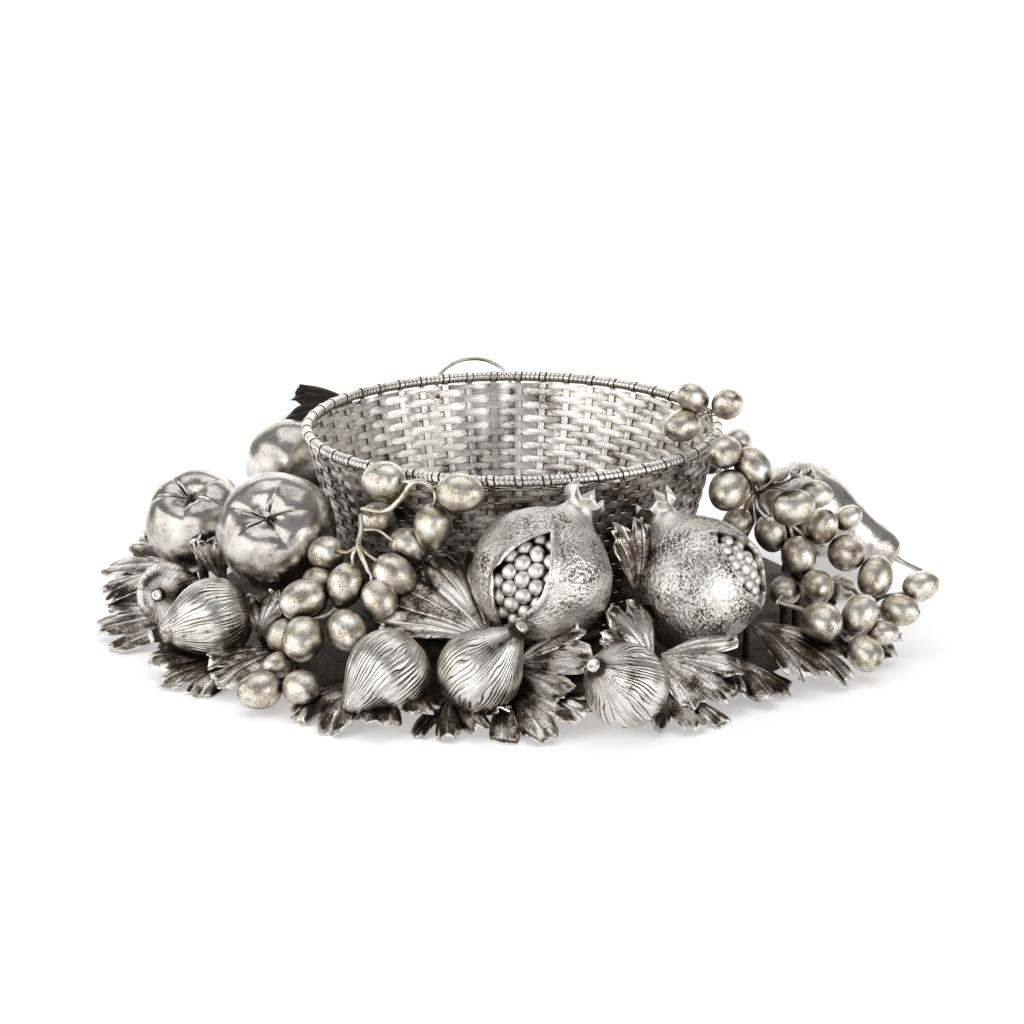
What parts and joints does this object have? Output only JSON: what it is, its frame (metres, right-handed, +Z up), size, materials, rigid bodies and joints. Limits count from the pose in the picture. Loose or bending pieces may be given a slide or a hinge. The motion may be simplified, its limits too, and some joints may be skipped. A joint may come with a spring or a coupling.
{
  "type": "centerpiece basket",
  "caption": "Woven silver basket on a round base plate, ringed by a wreath of silver apples, pears, figs, split pomegranates, grape sprigs and pleated vine leaves.",
  "frame": {"origin": "on the table, under the middle of the basket, at the centre of the base plate's underside", "axes": "+Z up, -Y towards the viewer of the picture, +X to that viewer's right"},
  "size_m": [0.4355, 0.428, 0.1337],
  "materials": {
    "woven_silver": "woven silver strip, worn bright on top and dark in the gaps",
    "polished_silver": "polished silver sheet",
    "satin_silver": "satin silver with fine oxide specks",
    "hammered_silver": "chased and pitted silver",
    "oxidised_silver": "chased silver, oxidised dark in the hollows"
  },
  "bodies": {
    "root": {"basket_wall": "woven_silver", "basket_floor": "woven_silver", "basket_foot_ring": "woven_silver", "rim_core_hoop": "polished_silver", "rim_binding": "woven_silver", "pomegranate_front": "hammered_silver", "pomegranate_right": "hammered_silver", "pomegranate_back": "hammered_silver", "apple_front_left": "polished_silver", "apple_outer_left": "polished_silver", "apple_back_left": "polished_silver", "apple_back_right": "polished_silver", "pear_right": "polished_silver", "pear_back_left": "polished_silver", "fig_left": "oxidised_silver", "fig_outer_left": "oxidised_silver", "fig_front_left": "oxidised_silver", "fig_front_middle": "oxidised_silver", "fig_front_right": "oxidised_silver", "fig_back_left": "oxidised_silver", "fig_back_right": "oxidised_silver", "grape_sprig_left_rim": "satin_silver", "grape_sprig_left_middle": "satin_silver", "grape_sprig_left_outer": "satin_silver", "grape_sprig_left_low": "satin_silver", "grape_sprig_right_rim": "satin_silver", "grape_sprig_right_upper": "satin_silver", "grape_sprig_right_middle": "satin_silver", "grape_sprig_right_outer": "satin_silver", "grape_sprig_right_low": "satin_silver", "grape_sprig_back_left": "satin_silver", "grape_sprig_back_right": "satin_silver", "vine_tendril": "polished_silver", "base_plate": "oxidised_silver", "leaf_left_upper": "oxidised_silver", "leaf_left_lower": "oxidised_silver", "leaf_fig_left": "oxidised_silver", "leaf_fig_inner": "oxidised_silver", "leaf_between_apples": "oxidised_silver", "leaf_grapes_left": "oxidised_silver", "leaf_front_left": "oxidised_silver", "leaf_front_small": "oxidised_silver", "leaf_middle_upper": "oxidised_silver", "leaf_middle_lower": "oxidised_silver", "leaf_centre_rising": "oxidised_silver", "leaf_between_pomegranates": "oxidised_silver", "leaf_shell": "oxidised_silver", "leaf_right_upper": "oxidised_silver", "leaf_right_low": "oxidised_silver", "leaf_right_outer": "oxidised_silver", "leaf_long_right": "oxidised_silver", "leaf_right_end": "oxidised_silver", "leaf_pear": "oxidised_silver", "leaf_back_left": "oxidised_silver", "leaf_back_low_left": "oxidised_silver", "leaf_back_middle": "oxidised_silver", "leaf_back_right": "oxidised_silver", "leaf_back_low_right": "oxidised_silver", "pomegranate_front_seeds": "satin_silver", "pomegranate_right_seeds": "satin_silver"}
  },
  "joints": []
}
